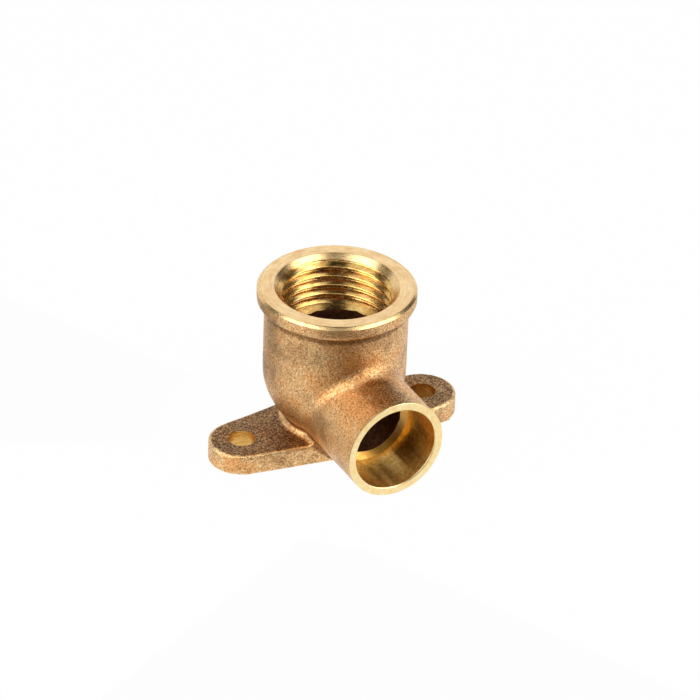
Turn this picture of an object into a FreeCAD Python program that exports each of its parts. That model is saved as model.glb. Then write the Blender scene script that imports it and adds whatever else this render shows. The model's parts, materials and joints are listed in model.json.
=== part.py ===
import FreeCAD, Part
import math
import os

# Wall plate elbow: a tap socket facing out of the wall, a pipe socket to one side, and two screw ears.
# The origin is where the tap socket's axis meets the wall face. +Z points out of the wall.
# The pipe socket opens toward -Y and the ears lie along X. All sizes are in millimetres.

# Tap socket
thread_minor_d = 18.631  # half inch parallel pipe thread, inside the crests
thread_depth = 9.3       # bead face to the end of the thread
drill_point = 118.0      # degrees, cone that the drill leaves under the thread
mouth_lead = 1.58        # size of the 45 degree lead-in at the mouth
face_height = 30.0       # wall face to the bead face
barrel_wall = 3.13       # thread crests to the barrel's outside

# Bead around the mouth
bead_step = 1.35
bead_height = 2.7
bead_chamfer = 0.55      # machined, at the face
bead_under_chamfer = 0.35  # cast, on the lower corner
bead_root_flare = 0.4    # cast, into the barrel

# Bowl and chamber
bowl_gap = 1.55          # wall face to the lowest point of the bowl
bowl_floor = 1.85        # metal under the chamber
shoulder_width = 0.95    # sloping ledge left under the thread by the chamber

# Pipe socket
pipe_d = 15.0
solder_gap = 0.05        # radial clearance for the solder film
socket_wall = 1.48
socket_depth = 9.5       # pipe socket's face to the pipe stop
stop_width = 1.45        # ledge the pipe end rests on
socket_chamfer = 0.25
branch_reach = 22.65     # tap axis to the pipe socket's face
branch_gap = 0.87        # wall face to the lowest line of the branch

# Wall plate
plate_thick = 3.6
plate_half_width = 8.5   # at the middle of the plate
plate_round = 0.45
screw_spacing = 35.5
screw_hole_d = 4.6
ear_margin = 3.52        # metal around each screw hole

# Blends left by the casting
branch_blend = 2.5       # barrel and bowl to branch
plate_blend = 1.0        # bowl and branch to plate
blend_bite = 0.01        # share by which a plate blend reaches into its neighbours
round_share = 0.45       # most of a wall that a round on its edge may take
tool_over = 1.0          # how far a cutting tool reaches past the metal
same_place = 0.005       # points closer than this are taken as one

# Sizes that follow from the ones above
thread_r = thread_minor_d / 2
barrel_r = thread_r + barrel_wall
bead_r = barrel_r + bead_step
bead_base = face_height - bead_height
bead_root = min(bead_root_flare, bead_step * round_share)
bead_under = min(bead_under_chamfer, bead_step * round_share, bead_height * round_share)
bead_edge = min(bead_chamfer, bead_step * round_share, bead_height * round_share)
bowl_z = bowl_gap + barrel_r
shoulder_z = face_height - thread_depth
chamber_r = thread_r - shoulder_width
floor_z = bowl_gap + bowl_floor
corner_z = bowl_z - math.sqrt((barrel_r - bowl_floor) ** 2 - chamber_r ** 2)
floor_r = chamber_r - (corner_z - floor_z)
socket_r = pipe_d / 2 + solder_gap
branch_r = socket_r + socket_wall
branch_z = branch_gap + branch_r
waterway_r = socket_r - stop_width
stop_y = branch_reach - socket_depth
socket_edge = min(socket_chamfer, socket_wall * round_share)
ear_x = screw_spacing / 2
ear_r = screw_hole_d / 2 + ear_margin
plate_edge = min(plate_round, plate_thick * round_share)

mid_quarter = math.sqrt(0.5)  # sine and cosine at the middle of a quarter circle
up = FreeCAD.Vector(0, 0, 1)
out = FreeCAD.Vector(0, -1, 0)
origin = FreeCAD.Vector(0, 0, 0)


def point(x, z):
    return FreeCAD.Vector(x, 0, z)


def line(a, b):
    return Part.makeLine(a, b)


def arc(a, middle, b):
    return Part.Arc(a, middle, b).toShape()


def turned(edges):
    return Part.Face(Part.Wire(edges)).revolve(origin, up, 360)


def upright_body():
    # bowl, barrel and bead as one turned outline
    bowl_low = point(0, bowl_gap)
    bowl_mid = point(barrel_r * mid_quarter, bowl_z - barrel_r * mid_quarter)
    bowl_end = point(barrel_r, bowl_z)
    root_low = point(barrel_r, bead_base - bead_root)
    root_high = point(barrel_r + bead_root, bead_base)
    under_low = point(bead_r - bead_under, bead_base)
    under_high = point(bead_r, bead_base + bead_under)
    edge_low = point(bead_r, face_height - bead_edge)
    edge_high = point(bead_r - bead_edge, face_height)
    face_mid = point(0, face_height)
    return turned([
        arc(bowl_low, bowl_mid, bowl_end),
        line(bowl_end, root_low),
        line(root_low, root_high),
        line(root_high, under_low),
        line(under_low, under_high),
        line(under_high, edge_low),
        line(edge_low, edge_high),
        line(edge_high, face_mid),
        line(face_mid, bowl_low),
    ])


def side_rod(radius, reach, edge):
    # a rod along the pipe's axis with a ball end under the tap socket and a small chamfer at its far end
    ball = FreeCAD.Vector(0, radius, branch_z)
    ball_mid = FreeCAD.Vector(0, radius * mid_quarter, branch_z - radius * mid_quarter)
    near = FreeCAD.Vector(0, 0, branch_z - radius)
    edge_near = FreeCAD.Vector(0, edge - reach, branch_z - radius)
    edge_far = FreeCAD.Vector(0, -reach, branch_z - radius + edge)
    far = FreeCAD.Vector(0, -reach, branch_z)
    edges = [arc(ball, ball_mid, near), line(near, edge_near)]
    if edge > 0:
        edges.append(line(edge_near, edge_far))
    edges += [line(edge_far, far), line(far, ball)]
    return Part.Face(Part.Wire(edges)).revolve(FreeCAD.Vector(0, 0, branch_z), out, 360)


def from_upright(p):
    # distance of a point from the outside of the barrel and bowl
    if p.z > bowl_z:
        return abs(math.hypot(p.x, p.y) - barrel_r)
    return abs(p.distanceToPoint(point(0, bowl_z)) - barrel_r)


def from_branch(p):
    # distance of a point from the outside of the branch
    if p.y < 0:
        return abs(math.hypot(p.x, p.z - branch_z) - branch_r)
    return abs(p.distanceToPoint(point(0, branch_z)) - branch_r)


def is_seam(edge):
    if edge.Degenerated:
        return False
    first, last = edge.ParameterRange
    points = [edge.valueAt(first + (last - first) * share) for share in (0.1, 0.5, 0.9)]
    return all(from_upright(p) < same_place and from_branch(p) < same_place for p in points)


def elbow_body():
    # barrel and branch, blended all along the seam where they meet
    body = upright_body().fuse(side_rod(branch_r, branch_reach, socket_edge))
    seam = [edge for edge in body.Edges if is_seam(edge)]
    return body.makeFillet(branch_blend, seam)


def plate_outline():
    # straight sides that touch the two ear rounds and the round at the middle
    lean = (plate_half_width - ear_r) / ear_x
    flat = math.sqrt(1 - lean * lean)

    def ear(side, end):
        return FreeCAD.Vector(side * (ear_x + ear_r * lean), end * ear_r * flat, 0)

    def middle(side, end):
        return FreeCAD.Vector(side * plate_half_width * lean, end * plate_half_width * flat, 0)

    ear_tip = FreeCAD.Vector(ear_x + ear_r, 0, 0)
    middle_tip = FreeCAD.Vector(0, plate_half_width, 0)
    return Part.Face(Part.Wire([
        line(middle(1, 1), ear(1, 1)),
        arc(ear(1, 1), ear_tip, ear(1, -1)),
        line(ear(1, -1), middle(1, -1)),
        arc(middle(1, -1), -middle_tip, middle(-1, -1)),
        line(middle(-1, -1), ear(-1, -1)),
        arc(ear(-1, -1), -ear_tip, ear(-1, 1)),
        line(ear(-1, 1), middle(-1, 1)),
        arc(middle(-1, 1), middle_tip, middle(1, 1)),
    ]))


def blend_points(radius, height):
    # section of the blend between the plate and a round of this radius centred at this height
    ball_z = plate_thick + plate_blend
    rise = height - ball_z
    centres = radius + plate_blend
    ball_x = math.sqrt(centres * centres - rise * rise)
    ball_r = plate_blend * (1 + blend_bite)
    high = point(ball_x - ball_r * ball_x / centres, ball_z + ball_r * rise / centres)
    deep = point(ball_x - ball_r, ball_z)
    low = point(ball_x, ball_z - ball_r)
    return high, deep, low


def bowl_blend():
    high, deep, low = blend_points(barrel_r, bowl_z)
    base = point(low.x, 0)
    top = point(0, high.z)
    return turned([
        line(origin, base),
        line(base, low),
        arc(low, deep, high),
        line(high, top),
        line(top, origin),
    ])


def branch_blend_strip():
    def other(p):
        return point(-p.x, p.z)
    high, deep, low = blend_points(branch_r, branch_z)
    base = point(low.x, 0)
    section = Part.Face(Part.Wire([
        line(other(base), base),
        line(base, low),
        arc(low, deep, high),
        line(high, other(high)),
        arc(other(high), other(deep), other(low)),
        line(other(low), other(base)),
    ]))
    return section.extrude(out * branch_reach)


def wall_plate():
    # plate with rounded top edges and the blends that rise from it, trimmed to the plate's outline
    outline = plate_outline()
    plate = outline.extrude(up * plate_thick)
    rim = [edge for edge in plate.Edges if edge.BoundBox.ZMin > plate_thick - same_place]
    plate = plate.makeFillet(plate_edge, rim)
    column = outline.extrude(up * bowl_z)
    plate = plate.fuse(bowl_blend().common(column))
    plate = plate.fuse(branch_blend_strip().common(column))
    return plate.removeSplitter()


def tap_tool():
    # thread bore at the crests, with the lead-in above and the drill's cone below
    mouth_r = thread_r + mouth_lead + tool_over
    mouth_z = face_height + tool_over
    tip_z = shoulder_z - thread_r / math.tan(math.radians(drill_point / 2))
    return turned([
        line(point(0, tip_z), point(thread_r, shoulder_z)),
        line(point(thread_r, shoulder_z), point(thread_r, face_height - mouth_lead)),
        line(point(thread_r, face_height - mouth_lead), point(mouth_r, mouth_z)),
        line(point(mouth_r, mouth_z), point(0, mouth_z)),
        line(point(0, mouth_z), point(0, tip_z)),
    ])


def chamber():
    # upright space with a dished floor that keeps its metal under the bowl, opened into the thread bore
    top = shoulder_z + tool_over
    return turned([
        line(point(0, floor_z), point(floor_r, floor_z)),
        line(point(floor_r, floor_z), point(chamber_r, corner_z)),
        line(point(chamber_r, corner_z), point(chamber_r, top)),
        line(point(chamber_r, top), point(0, top)),
        line(point(0, top), point(0, floor_z)),
    ])


def pipe_tool():
    return Part.makeCylinder(socket_r, socket_depth + tool_over, FreeCAD.Vector(0, -stop_y, branch_z), out)


def screw_hole(side):
    start = FreeCAD.Vector(side * ear_x, 0, -tool_over)
    return Part.makeCylinder(screw_hole_d / 2, plate_thick + 2 * tool_over, start, up)


casting = elbow_body().fuse(wall_plate()).removeSplitter()
spaces = [
    chamber(),
    side_rod(waterway_r, stop_y + tool_over, 0),
    tap_tool(),
    pipe_tool(),
    screw_hole(-1),
    screw_hole(1),
]
for space in spaces:
    casting = casting.cut(space)

os.makedirs("parts", exist_ok=True)
casting.exportStep("parts/elbow_body.step")
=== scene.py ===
import bmesh
import bpy
import json
import math
from mathutils import Matrix, Vector


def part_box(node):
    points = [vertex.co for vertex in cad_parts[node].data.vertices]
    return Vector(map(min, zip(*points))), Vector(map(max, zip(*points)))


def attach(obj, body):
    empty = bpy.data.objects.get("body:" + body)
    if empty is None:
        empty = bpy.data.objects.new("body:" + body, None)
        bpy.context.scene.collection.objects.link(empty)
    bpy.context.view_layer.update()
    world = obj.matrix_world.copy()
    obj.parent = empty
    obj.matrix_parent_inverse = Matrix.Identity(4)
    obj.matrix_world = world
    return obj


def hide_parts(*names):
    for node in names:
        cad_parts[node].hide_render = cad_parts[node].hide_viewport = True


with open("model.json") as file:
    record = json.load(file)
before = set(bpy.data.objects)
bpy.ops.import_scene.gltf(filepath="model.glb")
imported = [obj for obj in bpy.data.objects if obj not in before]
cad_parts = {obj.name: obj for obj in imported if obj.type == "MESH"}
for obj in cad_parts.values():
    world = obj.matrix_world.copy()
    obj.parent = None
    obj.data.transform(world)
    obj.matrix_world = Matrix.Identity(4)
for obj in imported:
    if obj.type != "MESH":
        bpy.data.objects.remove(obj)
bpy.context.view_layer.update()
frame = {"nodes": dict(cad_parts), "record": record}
print("frame loaded")

mm = 0.001
tiny = 1e-7    # metres, as good as nothing


def srgb(code):
    parts = [int(code[i:i + 2], 16) / 255 for i in (1, 3, 5)]
    return [p / 12.92 if p <= 0.04045 else ((p + 0.055) / 1.055) ** 2.4 for p in parts] + [1.0]


def addNode(tree, kind, inputs=(), stops=(), **settings):
    # a node with its settings, its values or links by name or in order, and a ramp's colours
    node = tree.nodes.new(kind)
    for name, value in settings.items():
        setattr(node, name, value)
    for name, value in inputs.items() if isinstance(inputs, dict) else enumerate(inputs):
        if isinstance(value, bpy.types.NodeSocket):
            tree.links.new(value, node.inputs[name])
        else:
            node.inputs[name].default_value = value
    for i, (place, code) in enumerate(stops):
        points = node.color_ramp.elements
        point = points[i] if i < len(points) else points.new(place)
        point.position = place
        point.color = srgb(code)
    return node.outputs


def newMaterial(name):
    material = bpy.data.materials.new(name)
    material.use_nodes = True
    material.node_tree.nodes.clear()
    return material, material.node_tree


def bronzeSurface(tree, colour, rough, height, depth, strength=1.0, others={}):
    # what every bronze finish ends in, with its relief in millimetres
    bump = addNode(tree, "ShaderNodeBump", {
        "Strength": strength, "Distance": depth * mm, "Height": height})[0]
    shader = addNode(tree, "ShaderNodeBsdfPrincipled", {
        "Base Color": colour, "Metallic": 1.0, "Roughness": rough, "Normal": bump, **others})
    addNode(tree, "ShaderNodeOutputMaterial", {"Surface": shader[0]})


def castSkin():
    # bronze from a sand mould, then tumbled: bright grain tops between brown oxide,
    # darker on its flats as oxide and painted shade, gold on its edges as wear and painted highlight, with
    # grime and painted shade in its corners
    material, tree = newMaterial("bronze_sand_cast")
    place = addNode(tree, "ShaderNodeTexCoord")
    coords = place["Object"]
    upward = addNode(tree, "ShaderNodeSeparateXYZ", (place["Normal"],))["Z"]
    # the sand is drawn about twice as coarse as it is
    grain = addNode(tree, "ShaderNodeTexNoise", {
        "Vector": coords, "Scale": 1 / (0.32 * mm), "Detail": 3.0, "Roughness": 0.62})[0]
    specks = addNode(tree, "ShaderNodeTexNoise", {
        "Vector": coords, "Scale": 1 / (0.9 * mm), "Detail": 3.0, "Roughness": 0.6})[0]
    patches = addNode(tree, "ShaderNodeTexNoise", {
        "Vector": coords, "Scale": 1 / (5.0 * mm), "Detail": 3.0, "Roughness": 0.6})[0]
    skin = addNode(tree, "ShaderNodeValToRGB", {"Fac": grain}, (
        (0.29, "#8C6C4C"), (0.44, "#D6A66F"), (0.56, "#F3C68C"), (0.70, "#FFEBBE")))[0]
    tone = addNode(tree, "ShaderNodeValToRGB", {"Fac": patches}, (
        (0.34, "#D8D2CE"), (0.48, "#FFFFFF"), (0.66, "#FFEBD4")))[0]
    # surfaces that face up are darker: partly duller oxide, partly painted shade
    flats = addNode(tree, "ShaderNodeMapRange", (upward, 0.9, 1.0, 0.0, 1.0))[0]
    flatsOxideAndShade = addNode(tree, "ShaderNodeValToRGB", {"Fac": grain}, ((0.42, "#7E756F"), (0.66, "#CBC3BB")))[0]
    # painted shade with some grime: corners go darker, most where they face down and under overhangs
    grimeAndShade = addNode(tree, "ShaderNodeAttribute", attribute_name="grimeAndShade")["Fac"]
    below = addNode(tree, "ShaderNodeMapRange", (upward, 0.05, 0.35, 0.8, 0.0))[0]
    grimeAndShadeShare = addNode(tree, "ShaderNodeMapRange", (grimeAndShade, 0.03, 0.05, 0.0, below))[0]
    for share, tint in ((1.0, tone), (flats, flatsOxideAndShade), (grimeAndShadeShare, srgb("#8F7A68"))):
        skin = addNode(tree, "ShaderNodeMix", {0: share, 6: skin, 7: tint},
                       data_type="RGBA", blend_type="MULTIPLY")[2]
    # edges are painted pale gold with a ragged border, partly rubbed wear and partly painted highlight, but
    # the wall face isn't
    bend = addNode(tree, "ShaderNodeAttribute", attribute_name="wearAndHighlight")["Fac"]
    ragged = addNode(tree, "ShaderNodeMapRange", (specks, 0.3, 0.7, -0.06, 0.06))[0]
    raggedBend = addNode(tree, "ShaderNodeMath", (bend, ragged), operation="ADD")[0]
    exposed = addNode(tree, "ShaderNodeMapRange", (upward, -0.98, -0.9, 0.0, 0.75))[0]
    wearAndHighlight = addNode(tree, "ShaderNodeMapRange", (raggedBend, 0.07, 0.13, 0.0, exposed))[0]
    skin = addNode(tree, "ShaderNodeMix", {0: wearAndHighlight, 6: skin, 7: srgb("#FBDCA6")}, data_type="RGBA")[2]
    rough = addNode(tree, "ShaderNodeMapRange", (grain, 0.3, 0.7, 0.52, 0.30))[0]
    rough = addNode(tree, "ShaderNodeMath", (wearAndHighlight, -0.15, rough), operation="MULTIPLY_ADD")[0]
    bronzeSurface(tree, skin, rough, grain, 0.13)
    return material


def turnedFace():
    # faced on a lathe: satin, pale, with fine rings
    material, tree = newMaterial("bronze_turned_face")
    coords = addNode(tree, "ShaderNodeTexCoord")["Object"]
    x, y, _ = addNode(tree, "ShaderNodeSeparateXYZ", (coords,))
    flat = addNode(tree, "ShaderNodeCombineXYZ", (x, y, 0.0))[0]
    radius = addNode(tree, "ShaderNodeVectorMath", (flat,), operation="LENGTH")["Value"]
    drift = addNode(tree, "ShaderNodeMapping", {"Vector": flat, "Scale": (0.08, 0.08, 0.08)})[0]
    slowX, slowY, _ = addNode(tree, "ShaderNodeSeparateXYZ", (drift,))
    around = addNode(tree, "ShaderNodeCombineXYZ", (radius, slowX, slowY))[0]
    # feed marks, three times as coarse as they are
    rings = addNode(tree, "ShaderNodeTexNoise", {
        "Vector": around, "Scale": 1 / (0.3 * mm), "Detail": 3.0, "Roughness": 0.6})[0]
    patches = addNode(tree, "ShaderNodeTexNoise", {
        "Vector": coords, "Scale": 1 / (2.2 * mm), "Detail": 3.0, "Roughness": 0.6})[0]
    colour = addNode(tree, "ShaderNodeValToRGB", {"Fac": rings}, (
        (0.3, "#EFC88C"), (0.5, "#FAD8A2"), (0.7, "#FFE9BC")))[0]
    tone = addNode(tree, "ShaderNodeValToRGB", {"Fac": patches}, ((0.35, "#F0E8DE"), (0.65, "#FFFFFF")))[0]
    colour = addNode(tree, "ShaderNodeMix", {0: 1.0, 6: colour, 7: tone},
                     data_type="RGBA", blend_type="MULTIPLY")[2]
    rough = addNode(tree, "ShaderNodeMapRange", (patches, 0.3, 0.7, 0.42, 0.26))[0]
    bronzeSurface(tree, colour, rough, rings, 0.03, 0.4)
    return material


def countersunkLead():
    # lead-in cut by a countersink: smoother than the face, with streaks where the cutter chattered
    material, tree = newMaterial("bronze_countersunk")
    coords = addNode(tree, "ShaderNodeTexCoord")["Object"]
    squeezed = addNode(tree, "ShaderNodeMapping", {"Vector": coords, "Scale": (0.6, 0.6, 2.5)})[0]
    streaks = addNode(tree, "ShaderNodeTexNoise", {
        "Vector": squeezed, "Scale": 1 / (0.45 * mm), "Detail": 3.0, "Roughness": 0.6})[0]
    colour = addNode(tree, "ShaderNodeValToRGB", {"Fac": streaks}, ((0.3, "#DDB372"), (0.7, "#F6DAA4")))[0]
    rough = addNode(tree, "ShaderNodeMapRange", (streaks, 0.3, 0.7, 0.32, 0.20))[0]
    bronzeSurface(tree, colour, rough, streaks, 0.05, 0.5)
    return material


def tappedThread():
    # cut by a tap: bright gold ridges with a little tearing along the cut
    material, tree = newMaterial("bronze_tapped_thread")
    coords = addNode(tree, "ShaderNodeTexCoord")["Object"]
    stretched = addNode(tree, "ShaderNodeMapping", {"Vector": coords, "Scale": (0.35, 0.35, 1.6)})[0]
    # torn metal, drawn a few times as coarse as it is
    tears = addNode(tree, "ShaderNodeTexNoise", {
        "Vector": stretched, "Scale": 1 / (0.5 * mm), "Detail": 3.0, "Roughness": 0.6})[0]
    patches = addNode(tree, "ShaderNodeTexNoise", {
        "Vector": coords, "Scale": 1 / (1.6 * mm), "Detail": 3.0, "Roughness": 0.6})[0]
    colour = addNode(tree, "ShaderNodeValToRGB", {"Fac": patches}, (
        (0.3, "#C2924B"), (0.5, "#DEB268"), (0.7, "#F0CC88")))[0]
    rough = addNode(tree, "ShaderNodeMapRange", (tears, 0.3, 0.7, 0.28, 0.14))[0]
    bronzeSurface(tree, colour, rough, tears, 0.05, 0.5)
    return material


def boredSocket():
    # bored to size: olive gold, with streaks along the bore
    material, tree = newMaterial("bronze_bored_socket")
    coords = addNode(tree, "ShaderNodeTexCoord")["Object"]
    mottle = addNode(tree, "ShaderNodeTexNoise", {
        "Vector": coords, "Scale": 1 / (0.6 * mm), "Detail": 4.0, "Roughness": 0.6})[0]
    stretched = addNode(tree, "ShaderNodeMapping", {"Vector": coords, "Scale": (1.0, 0.03, 1.0)})[0]
    streaks = addNode(tree, "ShaderNodeTexNoise", {
        "Vector": stretched, "Scale": 1 / (1.6 * mm), "Detail": 2.0, "Roughness": 0.5})[0]
    colour = addNode(tree, "ShaderNodeValToRGB", {"Fac": mottle}, (
        (0.3, "#D3A44C"), (0.5, "#F2C56E"), (0.7, "#FFE6A0")))[0]
    rough = addNode(tree, "ShaderNodeMapRange", (streaks, 0.3, 0.7, 0.38, 0.26))[0]
    along = addNode(tree, "ShaderNodeCombineXYZ", (0.0, 1.0, 0.0))[0]
    bronzeSurface(tree, colour, rough, streaks, 0.12, others={"Anisotropic": 0.75, "Tangent": along})
    return material


def facedSocket():
    # the socket's end and its pipe stop, faced with the same cutter: pale gold
    material, tree = newMaterial("bronze_faced_socket")
    coords = addNode(tree, "ShaderNodeTexCoord")["Object"]
    mottle = addNode(tree, "ShaderNodeTexNoise", {
        "Vector": coords, "Scale": 1 / (0.9 * mm), "Detail": 3.0, "Roughness": 0.6})[0]
    colour = addNode(tree, "ShaderNodeValToRGB", {"Fac": mottle}, ((0.3, "#FAD68E"), (0.7, "#FFEDBA")))[0]
    rough = addNode(tree, "ShaderNodeMapRange", (mottle, 0.3, 0.7, 0.36, 0.26))[0]
    bronzeSurface(tree, colour, rough, mottle, 0.04, 0.4)
    return material


def coreSkin():
    # left by the sand core and never rubbed: dull, dark brown
    material, tree = newMaterial("bronze_core_cast")
    coords = addNode(tree, "ShaderNodeTexCoord")["Object"]
    grain = addNode(tree, "ShaderNodeTexNoise", {
        "Vector": coords, "Scale": 1 / (0.5 * mm), "Detail": 4.0, "Roughness": 0.62})[0]
    colour = addNode(tree, "ShaderNodeValToRGB", {"Fac": grain}, ((0.3, "#432A16"), (0.7, "#835737")))[0]
    rough = addNode(tree, "ShaderNodeMapRange", (grain, 0.3, 0.7, 0.65, 0.42))[0]
    bronzeSurface(tree, colour, rough, grain, 0.16, 0.8, {"Metallic": 0.7})
    return material


def drilledHole():
    # drilled through the plate: bright, with rings from the drill's lips
    material, tree = newMaterial("bronze_drilled_hole")
    coords = addNode(tree, "ShaderNodeTexCoord")["Object"]
    squeezed = addNode(tree, "ShaderNodeMapping", {"Vector": coords, "Scale": (0.3, 0.3, 2.0)})[0]
    # rings about twice as coarse as they are
    rings = addNode(tree, "ShaderNodeTexNoise", {
        "Vector": squeezed, "Scale": 1 / (0.4 * mm), "Detail": 3.0, "Roughness": 0.6})[0]
    colour = addNode(tree, "ShaderNodeValToRGB", {"Fac": rings}, ((0.3, "#BE8E46"), (0.7, "#F0C472")))[0]
    rough = addNode(tree, "ShaderNodeMapRange", (rings, 0.3, 0.7, 0.38, 0.22))[0]
    bronzeSurface(tree, colour, rough, rings, 0.04, 0.5)
    return material


def newObject(name, mesh):
    thing = bpy.data.objects.new(name, mesh)
    bpy.context.scene.collection.objects.link(thing)
    return thing


def finishedMesh(name, bm, place):
    bmesh.ops.transform(bm, matrix=place, verts=bm.verts)
    bmesh.ops.recalc_face_normals(bm, faces=bm.faces)
    mesh = bpy.data.meshes.new(name)
    bm.to_mesh(mesh)
    bm.free()
    return mesh


def circle(bm, radius, height, steps, middle=(0, 0)):
    # a ring of points, or one point on the axis
    if radius == 0:
        return [bm.verts.new((0, 0, height))]
    ring = []
    for i in range(steps):
        angle = 2 * math.pi * i / steps
        x = radius * math.cos(angle) + middle[0]
        y = radius * math.sin(angle) + middle[1]
        ring.append(bm.verts.new((x, y, height)))
    return ring


def band(bm, lower, upper, steps, paint=0):
    # faces between two circles, either of which may be a point
    for i in range(steps):
        j = (i + 1) % steps
        if len(lower) == 1:
            face = bm.faces.new((lower[0], upper[i], upper[j]))
        elif len(upper) == 1:
            face = bm.faces.new((lower[i], upper[0], lower[j]))
        else:
            face = bm.faces.new((lower[i], lower[j], upper[j], upper[i]))
        face.material_index = paint


def turnedMesh(name, outline, place=Matrix.Identity(4), steps=192):
    # closed solid turned from (radius, height, material number) that run from the axis and back to it
    bm = bmesh.new()
    rings = [circle(bm, radius, height, steps) for radius, height, _ in outline]
    for lower, upper, (_, _, paint) in zip(rings, rings[1:], outline):
        band(bm, lower, upper, steps, paint)
    return finishedMesh(name, bm, place)


def ringMesh(name, outline, place=Matrix.Identity(4), hole=(0, 0), steps=192):
    # closed ring turned from a closed loop of (radius, height, moves with the hole or not)
    bm = bmesh.new()
    rings = []
    for radius, height, moves in outline:
        rings.append(circle(bm, radius, height, steps, hole if moves else (0, 0)))
    for lower, upper in zip(rings, rings[1:] + rings[:1]):
        band(bm, lower, upper, steps)
    return finishedMesh(name, bm, place)


def rounded(points, corner, radius, steps=6):
    # the corner of an outline replaced by an arc
    before, here, after = (Vector(points[corner + k][:2]) for k in (-1, 0, 1))
    paint = points[corner][2]
    toBefore = (before - here).normalized()
    toAfter = (after - here).normalized()
    half = toBefore.angle(toAfter) / 2
    cut = radius / math.tan(half)
    middle = here + (toBefore + toAfter).normalized() * (radius / math.sin(half))
    start = here + toBefore * cut - middle
    end = here + toAfter * cut - middle
    sweep = start.angle(end)
    arc = []
    for i in range(steps + 1):
        share = i / steps
        spoke = (start * math.sin((1 - share) * sweep) + end * math.sin(share * sweep)) / math.sin(sweep)
        arc.append((*(middle + spoke), paint))
    return points[:corner] + arc + points[corner + 1:]


def baked(thing):
    # the object's modifiers turned into a plain mesh
    seen = bpy.context.evaluated_depsgraph_get()
    mesh = bpy.data.meshes.new_from_object(thing.evaluated_get(seen), depsgraph=seen)
    thing.modifiers.clear()
    old = thing.data
    thing.data = mesh
    bpy.data.meshes.remove(old)


def setInputs(modifier, values):
    for item in modifier.node_group.interface.items_tree:
        if item.in_out == "INPUT" and item.name in values:
            modifier[item.identifier] = values[item.name]


def newTree(name, inputs):
    tree = bpy.data.node_groups.new(name, "GeometryNodeTree")
    for label, kind in inputs:
        tree.interface.new_socket(label, in_out="INPUT", socket_type="NodeSocket" + kind)
    tree.interface.new_socket("Geometry", in_out="OUTPUT", socket_type="NodeSocketGeometry")
    return tree, addNode(tree, "NodeGroupInput")


def skinTree():
    # moves the skin along its normals by a slow swell, a fine grain and, in the cored holes, a coarse rag
    tree, given = newTree("castSkin", (
        ("Geometry", "Geometry"), ("Swell", "Float"), ("Swell Size", "Float"),
        ("Grain", "Float"), ("Grain Size", "Float"), ("Rag", "Float"), ("Rag Size", "Float"),
        ("Seed", "Float"), ("Skin", "Material"), ("Core", "Material"),
    ))
    core = addNode(tree, "GeometryNodeInputNamedAttribute", {"Name": "core"}, data_type="FLOAT")["Attribute"]
    total = 0.0
    for height, where in (("Swell", 1.0), ("Grain", 1.0), ("Rag", core)):
        scale = addNode(tree, "ShaderNodeMath", (1.0, given[height + " Size"]), operation="DIVIDE")[0]
        field = addNode(tree, "ShaderNodeTexNoise", {
            "W": given["Seed"], "Scale": scale, "Detail": 2.0, "Roughness": 0.5}, noise_dimensions="4D")[0]
        centred = addNode(tree, "ShaderNodeMath", (field, 4.0, -2.0), operation="MULTIPLY_ADD")[0]
        amount = addNode(tree, "ShaderNodeMath", (given[height], where), operation="MULTIPLY")[0]
        total = addNode(tree, "ShaderNodeMath", (centred, amount, total), operation="MULTIPLY_ADD")[0]
    normal = addNode(tree, "GeometryNodeInputNormal")["Normal"]
    offset = addNode(tree, "ShaderNodeVectorMath", {0: normal, "Scale": total}, operation="SCALE")["Vector"]
    moved = addNode(tree, "GeometryNodeSetPosition", {"Geometry": given["Geometry"], "Offset": offset})[0]
    whole = addNode(tree, "GeometryNodeRealizeInstances", {"Geometry": moved})[0]
    cored = addNode(tree, "ShaderNodeMath", (core, 0.5), operation="GREATER_THAN")[0]
    painted = addNode(tree, "GeometryNodeSetMaterial", {"Geometry": whole, "Material": given["Skin"]})[0]
    painted = addNode(tree, "GeometryNodeSetMaterial", {
        "Geometry": painted, "Selection": cored, "Material": given["Core"]})[0]
    addNode(tree, "NodeGroupOutput", {"Geometry": painted})
    return tree


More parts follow.
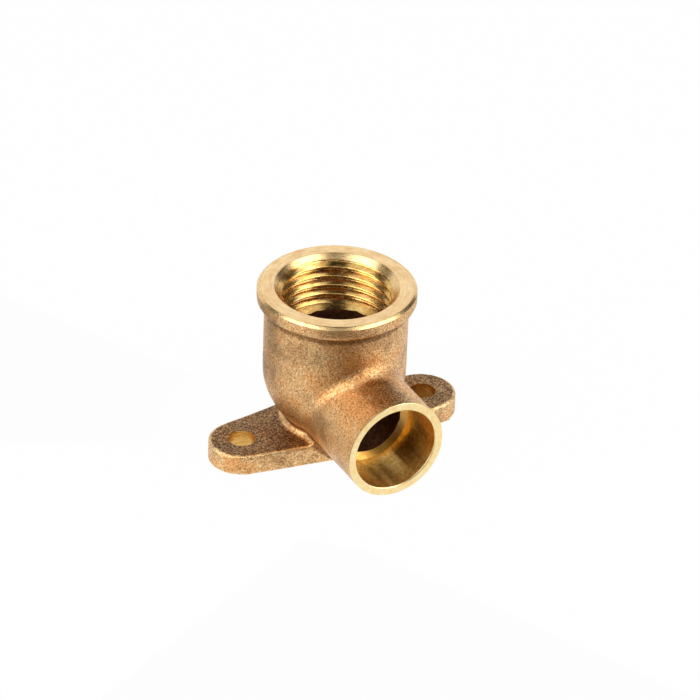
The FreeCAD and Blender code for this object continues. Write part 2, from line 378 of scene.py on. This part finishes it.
def threadTree():
    # one groove profile run up a right-hand helix, each turn welded to the next
    tree, given = newTree("tapThread", (
        ("Minor Radius", "Float"), ("Ridge", "Float"), ("Crest", "Float"), ("Root", "Float"),
        ("Pitch", "Float"), ("Start", "Float"), ("Turns", "Int"), ("Steps", "Int"), ("Across", "Int"),
        ("Weld", "Float"), ("Material", "Material"),
    ))
    steps = addNode(tree, "FunctionNodeIntegerMath", (
        given["Turns"], given["Steps"], 1), operation="MULTIPLY_ADD")[0]
    strip = addNode(tree, "GeometryNodeMeshGrid", {
        "Size X": 1.0, "Size Y": 1.0, "Vertices X": steps, "Vertices Y": given["Across"]})["Mesh"]
    position = addNode(tree, "GeometryNodeInputPosition")[0]
    x, y, _ = addNode(tree, "ShaderNodeSeparateXYZ", (position,))
    along = addNode(tree, "ShaderNodeMath", (x, 0.5), operation="ADD")[0]
    turns = addNode(tree, "ShaderNodeMath", (along, given["Turns"]), operation="MULTIPLY")[0]
    across = addNode(tree, "ShaderNodeMath", (y, 0.5), operation="ADD")[0]
    # straight flanks from the groove in the middle of the strip to the ridges on both sides
    middle = addNode(tree, "ShaderNodeMath", (y, 2.0), operation="MULTIPLY")[0]
    aside = addNode(tree, "ShaderNodeMath", (middle,), operation="ABSOLUTE")[0]
    crest = addNode(tree, "ShaderNodeMath", (1.0, given["Crest"]), operation="SUBTRACT")[0]
    depth = addNode(tree, "ShaderNodeMapRange", (aside, given["Root"], crest, 1.0, 0.0))[0]
    radius = addNode(tree, "ShaderNodeMath", (
        depth, given["Ridge"], given["Minor Radius"]), operation="MULTIPLY_ADD")[0]
    angle = addNode(tree, "ShaderNodeMath", (turns, 2 * math.pi), operation="MULTIPLY")[0]
    cosine = addNode(tree, "ShaderNodeMath", (angle,), operation="COSINE")[0]
    sine = addNode(tree, "ShaderNodeMath", (angle,), operation="SINE")[0]
    bentX = addNode(tree, "ShaderNodeMath", (radius, cosine), operation="MULTIPLY")[0]
    bentY = addNode(tree, "ShaderNodeMath", (radius, sine), operation="MULTIPLY")[0]
    climb = addNode(tree, "ShaderNodeMath", (turns, across), operation="ADD")[0]
    bentZ = addNode(tree, "ShaderNodeMath", (
        climb, given["Pitch"], given["Start"]), operation="MULTIPLY_ADD")[0]
    bent = addNode(tree, "ShaderNodeCombineXYZ", (bentX, bentY, bentZ))[0]
    helix = addNode(tree, "GeometryNodeSetPosition", {"Geometry": strip, "Position": bent})[0]
    welded = addNode(tree, "GeometryNodeMergeByDistance", {"Geometry": helix, "Distance": given["Weld"]})[0]
    whole = addNode(tree, "GeometryNodeRealizeInstances", {"Geometry": welded})[0]
    painted = addNode(tree, "GeometryNodeSetMaterial", {"Geometry": whole, "Material": given["Material"]})[0]
    addNode(tree, "NodeGroupOutput", {"Geometry": painted})
    return tree


# sizes that the record already holds
mounts = {mount["name"]: mount for mount in frame["record"]["mounts"]}
low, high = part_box("elbow_body")
threadR = mounts["tap_thread"]["dims"]["r_mm"] * mm
socketR = mounts["pipe_socket"]["dims"]["r_mm"] * mm
socketDepth = mounts["pipe_socket"]["dims"]["length_mm"] * mm
socketZ = mounts["pipe_socket"]["pos_m"][2]
holeR = mounts["screw_holes"]["dims"]["hole_r_mm"] * mm
earX = mounts["screw_holes"]["dims"]["spacing_x_mm"] * mm / 2
plate = mounts["screw_holes"]["pos_m"][2] * 2
faceZ = high[2]
beadR = high[1]
stopY = low[1] + socketDepth
# the socket's tools are turned about Z from its stop, and +Z then leads out of it
socketPlace = Matrix.Translation((0, stopY, socketZ)) @ Matrix.Rotation(math.radians(90), 4, "X")

# what a user would change on the elbow, lengths in millimetres
elbow = {
    "voxel": 0.3,            # mesh of the cast skin
    "smoothing": 2,
    "swell": 0.05,           # slow unevenness of the mould
    "swellSize": 5.0,
    "grain": 0.02,           # sand grain that the mesh can carry
    "grainSize": 0.9,
    "rag": 0.12,             # unevenness of the cored holes
    "ragSize": 1.1,
    "seed": 3.0,
    "coreR": 8.3,            # cast hole under the thread
    "coreShift": (0.3, -0.17),    # that hole sits a little off the thread's axis
    "dish": 7.5,             # below this height the chamber's floor draws in
    "waterR": 6.1,           # cast hole behind the pipe stop
    "waterShift": (0.12, -0.16),  # and that one off the socket's axis
    "coreReach": 0.6,        # how far outside those holes the skin still counts as theirs
    "stock": 0.7,            # metal that the cutters take off the faces
    "mouthBacking": 2.0,     # that metal runs on into the casting, past the thread
    "beadBacking": 1.2,      # under the bead's face
    "boreBacking": 0.7,      # past the pipe bore
    "endBacking": 1.0,       # behind the pipe stop and the socket's end
    "earBacking": 0.6,       # past the screw holes
    "earSkin": 0.3,          # but not down to the wall face
    "threadDepth": 9.3,      # face to shoulder
    "pitch": 1.8143,
    "ridge": 1.0,            # height of a thread ridge
    "crest": 0.08,           # share of the pitch that a ridge's top takes, and a groove's bottom
    "root": 0.06,
    "firstGroove": 1.25,     # face to the first groove, on the side across from the camera
    "farSide": 0.17,         # share of a turn from +X to that side
    "turnsBelow": 6,
    "turnSteps": 120,        # points in a turn, and across its groove
    "grooveSteps": 19,
    "weld": 0.002,
    "drillPoint": 118,       # degrees, cone under the thread
    "lead": 1.58,            # lead-in at the mouth
    "leadSteps": 8,
    "leadRound": 0.35,
    "beadEdge": 0.5,         # edge that the cutter takes off the bead
    "beadRound": 0.5,
    "beadPast": 0.05,        # that cut runs this far past the bead's side
    "socketWall": 1.48,
    "stopSlope": 10,         # degrees, hollow that the cutter's end leaves in the pipe stop
    "boreRound": 0.3,
    "endEdge": 0.06,         # edge that the cutter takes off the socket's end
    "endRound": 0.1,
    "endPast": 0.24,         # and this far past the socket's side
    "endFlank": 1.2,         # height of the cutter's slope outside the socket
    "toolOver": 2.0,         # how far the cutters stand out of the metal
    "toolSide": 1.0,
    "rodOver": 0.5,
    "drillSteps": 64,
    "wallBlock": 100.0,      # side of the block that leaves the wall face flat
    "castCrease": 70,        # degrees, sharper edges than this are creased on the skin, and on the cuts
    "cutCrease": 38,
    "wearAndHighlightRounds": 2,         # how far the wear and painted highlight on an edge spread, and the grime and painted shade in a corner
    "grimeAndShadeRounds": 4,
    "grimeAndShadeFade": 0.88,       # what each round passes on
}
sized = {name: value * mm for name, value in elbow.items() if isinstance(value, float)}    # in metres
shoulderZ = faceZ - sized["threadDepth"]
outerR = socketR + sized["socketWall"]

# the casting as it leaves the mould, with metal still to come off in the mouth, the socket and the ears
stock = sized["stock"]
coreR = sized["coreR"]
waterR = sized["waterR"]
mouthR = threadR + sized["mouthBacking"]
mouthZ = shoulderZ - sized["mouthBacking"]
beadZ = faceZ - sized["beadBacking"]
mouthStock = ringMesh("mouthStock", (
    (coreR, mouthZ, True), (mouthR, mouthZ, False), (mouthR, beadZ, False),
    (beadR, beadZ, False), (beadR, faceZ + stock, False), (coreR, faceZ + stock, True),
), hole=[shift * mm for shift in elbow["coreShift"]])
boreR = socketR + sized["boreBacking"]
behind = sized["endBacking"]
socketStock = ringMesh("socketStock", (
    (waterR, -behind, True), (boreR, -behind, False), (boreR, socketDepth - behind, False),
    (outerR, socketDepth - behind, False), (outerR, socketDepth + stock, False),
    (waterR, socketDepth + stock, True),
), socketPlace, [shift * mm for shift in elbow["waterShift"]])
earR = holeR + sized["earBacking"]
earStock = [turnedMesh("earStock", (
    (0, sized["earSkin"], 0), (earR, sized["earSkin"], 0), (earR, plate, 0), (0, plate, 0),
), Matrix.Translation((side * earX, 0, 0))) for side in (-1, 1)]
bm = bmesh.new()
bm.from_mesh(frame["nodes"]["elbow_body"].data)
bmesh.ops.remove_doubles(bm, verts=bm.verts, dist=0.0005 * mm)    # its triangles come loose
for vert in bm.verts:
    if vert.co.z < 0.01 * mm:    # on the wall face
        vert.co.z = -stock
for mesh in [mouthStock, socketStock] + earStock:
    bm.from_mesh(mesh)
mesh = bpy.data.meshes.new("elbow_casting")
bm.to_mesh(mesh)
bm.free()
piece = newObject("elbow_casting", mesh)
remesh = piece.modifiers.new("skin", "REMESH")
remesh.mode = "VOXEL"
remesh.voxel_size = sized["voxel"]
smooth = piece.modifiers.new("smooth", "SMOOTH")
smooth.iterations = elbow["smoothing"]
baked(piece)

# points of the cored holes, which get the core's rag and colour
reach = sized["coreReach"]
core = []
for vertex in piece.data.vertices:
    x, y, z = vertex.co
    upright = math.hypot(x, y) < coreR + reach - max(0, sized["dish"] - z) and z > plate - reach
    sideways = math.hypot(x, z - socketZ) < socketR + reach and y < 0
    core.append(1.0 if upright or sideways else 0.0)
piece.data.attributes.new("core", "FLOAT", "POINT").data.foreach_set("value", core)
sand = piece.modifiers.new("sand", "NODES")
sand.node_group = skinTree()
sandCast = castSkin()
setInputs(sand, {
    "Swell": sized["swell"], "Swell Size": sized["swellSize"],
    "Grain": sized["grain"], "Grain Size": sized["grainSize"],
    "Rag": sized["rag"], "Rag Size": sized["ragSize"],
    "Seed": elbow["seed"], "Skin": sandCast, "Core": coreSkin(),
})
baked(piece)
print("cast skin", len(piece.data.polygons))

# the thread as a solid rod, cut square above the face and to the drill's point below
pitch = sized["pitch"]
over = sized["toolOver"]
rod = newObject("threadTool", bpy.data.meshes.new("threadTool"))
helix = rod.modifiers.new("helix", "NODES")
helix.node_group = threadTree()
turnsDown = elbow["turnsBelow"] + elbow["farSide"] + 0.5    # the groove is in the middle of its strip
startZ = faceZ - sized["firstGroove"] - turnsDown * pitch
setInputs(helix, {
    "Minor Radius": threadR, "Ridge": sized["ridge"], "Crest": elbow["crest"], "Root": elbow["root"],
    "Pitch": pitch, "Start": startZ, "Turns": math.ceil((faceZ + over - startZ) / pitch),
    "Steps": elbow["turnSteps"], "Across": elbow["grooveSteps"], "Weld": sized["weld"],
    "Material": tappedThread(),
})
baked(rod)
bm = bmesh.new()
bm.from_mesh(rod.data)
for height, side in ((shoulderZ, -1), (faceZ + sized["rodOver"], 1)):
    bmesh.ops.bisect_plane(
        bm, geom=bm.verts[:] + bm.edges[:] + bm.faces[:], dist=tiny,
        plane_co=(0, 0, height), plane_no=(0, 0, side), clear_outer=True)
rims = [edge for edge in bm.edges if edge.is_boundary]
bmesh.ops.holes_fill(bm, edges=[edge for edge in rims if edge.verts[0].co.z > faceZ])
tip = bm.verts.new((0, 0, shoulderZ - threadR / math.tan(math.radians(elbow["drillPoint"] / 2))))
for edge in rims:
    if edge.verts[0].co.z < faceZ:
        paint = edge.link_faces[0].material_index
        bm.faces.new((*edge.verts, tip)).material_index = paint
bmesh.ops.recalc_face_normals(bm, faces=bm.faces)
bm.to_mesh(rod.data)
bm.free()

# cutter for the bead's face and the lead-in
lead = sized["lead"]
leadSteps = elbow["leadSteps"]
edgeIn = sized["beadEdge"]
edgeOut = sized["beadPast"]
toolSide = sized["toolSide"]
mouth = [(0, faceZ - lead, 1)]
for i in range(leadSteps - 1):
    mouth.append((threadR + lead * i / leadSteps, faceZ + lead * (i / leadSteps - 1), 1))
corner = len(mouth)
mouth += [
    (threadR + lead, faceZ, 0), (beadR - edgeIn, faceZ, 1),
    (beadR + edgeOut, faceZ - edgeIn - edgeOut, 1), (beadR + toolSide, faceZ - edgeIn - toolSide, 0),
    (beadR + toolSide, faceZ + over, 0), (0, faceZ + over, 0),
]
mouth = rounded(mouth, corner + 1, sized["beadRound"])
mouth = rounded(mouth, corner, sized["leadRound"])
mouthTool = newObject("mouthTool", turnedMesh("mouthTool", mouth))
mouthTool.data.materials.append(turnedFace())
mouthTool.data.materials.append(countersunkLead())

# cutter for the pipe socket, its stop and its end
edgeIn = sized["endEdge"]
edgeOut = sized["endPast"]
socket = [
    (0, -socketR * math.tan(math.radians(elbow["stopSlope"])), 1), (socketR, 0, 0),
    (socketR, socketDepth, 1), (outerR - edgeIn, socketDepth, 1),
    (outerR + edgeOut, socketDepth - edgeIn - edgeOut, 1),
    (outerR + toolSide, socketDepth - sized["endFlank"], 1),
    (outerR + toolSide, socketDepth + over, 1), (0, socketDepth + over, 1),
]
socket = rounded(socket, 3, sized["endRound"])
socket = rounded(socket, 2, sized["boreRound"])
socketTool = newObject("socketTool", turnedMesh("socketTool", socket, socketPlace))
socketTool.data.materials.append(boredSocket())
socketTool.data.materials.append(facedSocket())

# a drill through each ear
drilled = drilledHole()
drills = []
drillEnd = plate + toolSide
for side in (-1, 1):
    outline = ((0, -toolSide, 0), (holeR, -toolSide, 0), (holeR, drillEnd, 0), (0, drillEnd, 0))
    place = Matrix.Translation((side * earX, 0, 0))
    tool = newObject("drill", turnedMesh("drill", outline, place, elbow["drillSteps"]))
    tool.data.materials.append(drilled)
    drills.append(tool)

# the wall face is left flat
block = sized["wallBlock"]
bm = bmesh.new()
bmesh.ops.create_cube(bm, size=block, matrix=Matrix.Translation((0, 0, -block / 2)))
wallTool = newObject("wallTool", finishedMesh("wallTool", bm, Matrix.Identity(4)))
wallTool.data.materials.append(sandCast)

for tool in [rod, mouthTool, socketTool, wallTool] + drills:
    cut = piece.modifiers.new("cut", "BOOLEAN")
    cut.operation = "DIFFERENCE"
    cut.solver = "MANIFOLD"
    cut.material_mode = "TRANSFER"
    cut.object = tool
    baked(piece)
    bpy.data.objects.remove(tool)
print("machined", len(piece.data.polygons), [m.name for m in piece.data.materials])

# smooth all over, with creases where a cutter meets the cast skin
skins = [i for i, material in enumerate(piece.data.materials) if material.name.endswith("_cast")]
bm = bmesh.new()
bm.from_mesh(piece.data)
bmesh.ops.triangulate(bm, faces=[face for face in bm.faces if len(face.verts) > 4])
bm.normal_update()
for edge in bm.edges:
    cast = [face.material_index in skins for face in edge.link_faces]
    crease = math.radians(elbow["castCrease"] if cast[0] else elbow["cutCrease"])
    edge.smooth = len(set(cast)) == 1 and edge.calc_face_angle(0) < crease
for face in bm.faces:
    face.smooth = True

# how far each point of the skin stands proud of its neighbours, averaged so that single grains drop out
bm.verts.ensure_lookup_table()
outside = [all(face.material_index == skins[0] for face in vert.link_faces) for vert in bm.verts]
beside = []
proud = []
for vert, isSkin in zip(bm.verts, outside):
    group = [edge.other_vert(vert) for edge in vert.link_edges] if isSkin else []
    group = [other for other in group if outside[other.index]]
    steps = [other.co - vert.co for other in group]
    rises = [-vert.normal.dot(step) / step.length for step in steps if step.length > tiny]
    beside.append([other.index for other in group])
    proud.append(sum(rises) / len(rises) if rises else 0.0)
for _ in range(elbow["wearAndHighlightRounds"]):
    proud = [(p + sum(proud[i] for i in group)) / (1 + len(group)) for p, group in zip(proud, beside)]
# grime and painted shade in the corners, and a little way out of them
grimeAndShade = [max(0.0, -p) for p in proud]
for _ in range(elbow["grimeAndShadeRounds"]):
    passed = [g * elbow["grimeAndShadeFade"] for g in grimeAndShade]
    grimeAndShade = [max([g] + [passed[i] for i in group]) for g, group in zip(grimeAndShade, beside)]
openEdges = sum(1 for edge in bm.edges if len(edge.link_faces) != 2)
triangles = sum(len(face.verts) - 2 for face in bm.faces)
bm.to_mesh(piece.data)
bm.free()
for name, values in (("wearAndHighlight", proud), ("grimeAndShade", grimeAndShade)):
    piece.data.attributes.new(name, "FLOAT", "POINT").data.foreach_set("value", values)
print("finished", triangles, "triangles", openEdges, "open edges")
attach(piece, "root")
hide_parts("elbow_body")

# the camera sees the elbow as the photograph does, and the light is a plain white tent
studio = {
    "turn": -28.94,          # degrees, camera round the elbow
    "rise": 32.53,
    "roll": -1.97,
    "away": 863.89,          # millimetres, and so are the lengths below
    "aside": (2.63, 1.59),
    "lookAt": 15.0,          # height of the point that it turns about
    "sensor": 36,
    "lens": 5000 / 700 * 36,    # 5000 pixels of an image that is 700 wide
    "skyOnMatt": 0.45,       # what the sky lends to matt surfaces
    "floorGlow": 0.985,      # share of plain white in the floor as the camera and reflections see it
    "floorReach": 3000.0,
    "floorDrop": 0.02,       # it lies this far under the wall face
    "covered": ((-10.0, -5.5), (20.5, 5.5)),    # corners of the floor that the elbow covers
    "left": (-54, 30, 2.45),    # lamp's degrees to the camera's right and above the floor, and its watts
    "right": (74, 34, 2.15),
    "lampAway": 620.0,
    "lampSize": (500.0, 640.0),
}
target = Vector((0, 0, studio["lookAt"] * mm))
turn, rise, roll = (math.radians(studio[name]) for name in ("turn", "rise", "roll"))
back = Vector((math.sin(turn) * math.cos(rise), -math.cos(turn) * math.cos(rise), math.sin(rise)))
right = Vector((math.cos(turn), math.sin(turn), 0))
ahead = Vector((back.x, back.y, 0)).normalized()
up = back.cross(right)
imageRight = right * math.cos(roll) - up * math.sin(roll)
imageUp = right * math.sin(roll) + up * math.cos(roll)
eye = target + back * studio["away"] * mm
eye += imageRight * studio["aside"][0] * mm + imageUp * studio["aside"][1] * mm
camera = newObject("camera", bpy.data.cameras.new("camera"))
camera.matrix_world = Matrix.Translation(eye) @ Matrix((imageRight, imageUp, back)).transposed().to_4x4()
camera.data.sensor_width = studio["sensor"]
camera.data.lens = studio["lens"]
camera.data.clip_start = 0.05
bpy.context.scene.camera = camera

# the floor, with the part of it that the elbow covers as a face of its own
floorZ = -studio["floorDrop"] * mm
floorSide = studio["floorReach"]
points = []
for (x0, y0), (x1, y1) in (((-floorSide, -floorSide), (floorSide, floorSide)), studio["covered"]):
    points += [(x * mm, y * mm, floorZ) for x, y in ((x0, y0), (x1, y0), (x1, y1), (x0, y1))]
faces = [(i, (i + 1) % 4, (i + 1) % 4 + 4, i + 4) for i in range(4)] + [(4, 5, 6, 7)]
floorMesh = bpy.data.meshes.new("floor")
floorMesh.from_pydata(points, [], faces)
floor = newObject("floor", floorMesh)

# sky and floor are white to the camera and in reflections, and plain matt light otherwise
world = bpy.data.worlds.new("studio")
bpy.context.scene.world = world
world.use_nodes = True
skyTree = world.node_tree
skyTree.nodes.clear()
paper, paperTree = newMaterial("matt_white_paper")
white = []
for tree in (skyTree, paperTree):
    rays = addNode(tree, "ShaderNodeLightPath")
    shiny = addNode(tree, "ShaderNodeMath", (
        rays["Is Glossy Ray"], rays["Is Transmission Ray"]), operation="MAXIMUM")[0]
    white.append(addNode(tree, "ShaderNodeMath", (rays["Is Camera Ray"], shiny), operation="MAXIMUM")[0])
strength = addNode(skyTree, "ShaderNodeMapRange", (white[0], 0.0, 1.0, studio["skyOnMatt"], 1.0))[0]
sky = addNode(skyTree, "ShaderNodeBackground", {"Color": (1, 1, 1, 1), "Strength": strength})
addNode(skyTree, "ShaderNodeOutputWorld", {"Surface": sky[0]})
share = addNode(paperTree, "ShaderNodeMath", (white[1], studio["floorGlow"]), operation="MULTIPLY")[0]
matt = addNode(paperTree, "ShaderNodeBsdfDiffuse", {"Color": (0.9, 0.9, 0.9, 1)})
glow = addNode(paperTree, "ShaderNodeEmission", {"Color": (1, 1, 1, 1), "Strength": 1.0})
both = addNode(paperTree, "ShaderNodeMixShader", (share, matt[0], glow[0]))
addNode(paperTree, "ShaderNodeOutputMaterial", {"Surface": both[0]})
floorMesh.materials.append(paper)
# under the body and the far ear the paper lies in shadow
covered, coveredTree = newMaterial("covered_white_paper")
matt = addNode(coveredTree, "ShaderNodeBsdfDiffuse", {"Color": (0.9, 0.9, 0.9, 1)})
addNode(coveredTree, "ShaderNodeOutputMaterial", {"Surface": matt[0]})
floorMesh.materials.append(covered)
floorMesh.polygons[4].material_index = 1


def toward(turn, rise):
    # direction by degrees to the camera's right and above the floor
    turn, rise = math.radians(turn), math.radians(rise)
    return (ahead * math.cos(turn) + right * math.sin(turn)) * math.cos(rise) + Vector((0, 0, math.sin(rise)))


for name in ("left", "right"):
    lampTurn, lampRise, watts = studio[name]
    lamp = newObject(name, bpy.data.lights.new(name, "AREA"))
    lamp.data.shape = "RECTANGLE"
    lamp.data.size, lamp.data.size_y = (side * mm for side in studio["lampSize"])
    lamp.data.energy = watts
    lamp.location = target + toward(lampTurn, lampRise) * studio["lampAway"] * mm
    lamp.rotation_euler = toward(lampTurn, lampRise).to_track_quat("Z", "Y").to_euler()

# black felt in front and overhead, a pale card on the floor at the left and a grey one behind each side,
# all seen only in reflections: degrees to the camera's right, and metres
flags = {
    "felt": "#2A2622",
    "lowCard": "#A8A29A",
    "greyCard": "#6E6862",
    "offFloor": 0.0002,
    "feltNear": ((-8, 0.034), (9, 0.036), (24, 0.05), (38, 0.09)),    # its near edge, with how far out it is
    "feltFold": (-32, -5, 22, 50),       # where it turns up
    "feltTop": (-40, -9, 22, 52),
    "feltAway": 0.55,
    "feltHeight": 0.48,
    "overheadSides": (-9, 15),
    "overheadRises": (58, 74, 90, 106),  # degrees above the floor
    "overheadAway": 0.7,
    "lowTurns": (-82, -96, -110, -124),
    "lowAway": (0.03, 0.5),
    "greyTurns": ((-90, -104, -118), (94, 116, 138)),
    "greyFoot": (0.22, 0.02),
    "greyTop": 1.0,
    "greyAway": 0.75,
}


def standing(turn, away, height):
    # point by degrees to the camera's right, and by metres out and up
    return toward(turn, 0) * away + Vector((0, 0, height))


def flag(name, colour, rows):
    # a sheet through rows of points, hidden from the camera
    material, tree = newMaterial(name)
    cloth = addNode(tree, "ShaderNodeBsdfDiffuse", {"Color": srgb(colour)})
    addNode(tree, "ShaderNodeOutputMaterial", {"Surface": cloth[0]})
    across = len(rows[0])
    points = [point for row in rows for point in row]
    faces = [(i, i + 1, i + across + 1, i + across) for i in range(len(points) - across) if (i + 1) % across]
    mesh = bpy.data.meshes.new(name)
    mesh.from_pydata(points, [], faces)
    mesh.materials.append(material)
    sheet = newObject(name, mesh)
    sheet.visible_camera = False


offFloor = flags["offFloor"]
flag("frontFelt", flags["felt"], (
    [standing(turn, away, offFloor) for turn, away in flags["feltNear"]],
    [standing(turn, flags["feltAway"], offFloor) for turn in flags["feltFold"]],
    [standing(turn, flags["feltAway"], flags["feltHeight"]) for turn in flags["feltTop"]],
))
sides = [right * math.tan(math.radians(side)) for side in flags["overheadSides"]]
flag("topFelt", flags["felt"], [
    [(toward(0, angle) + side) * flags["overheadAway"] for side in sides]
    for angle in flags["overheadRises"]])
flag("lowCard", flags["lowCard"], [
    [standing(turn, away, offFloor) for turn in flags["lowTurns"]] for away in flags["lowAway"]])
for turns, foot in zip(flags["greyTurns"], flags["greyFoot"]):
    flag("greyCard", flags["greyCard"], [
        [standing(turn, flags["greyAway"], height) for turn in turns] for height in (foot, flags["greyTop"])])
print("studio ready")

bpy.context.scene.view_settings.view_transform = "Standard"
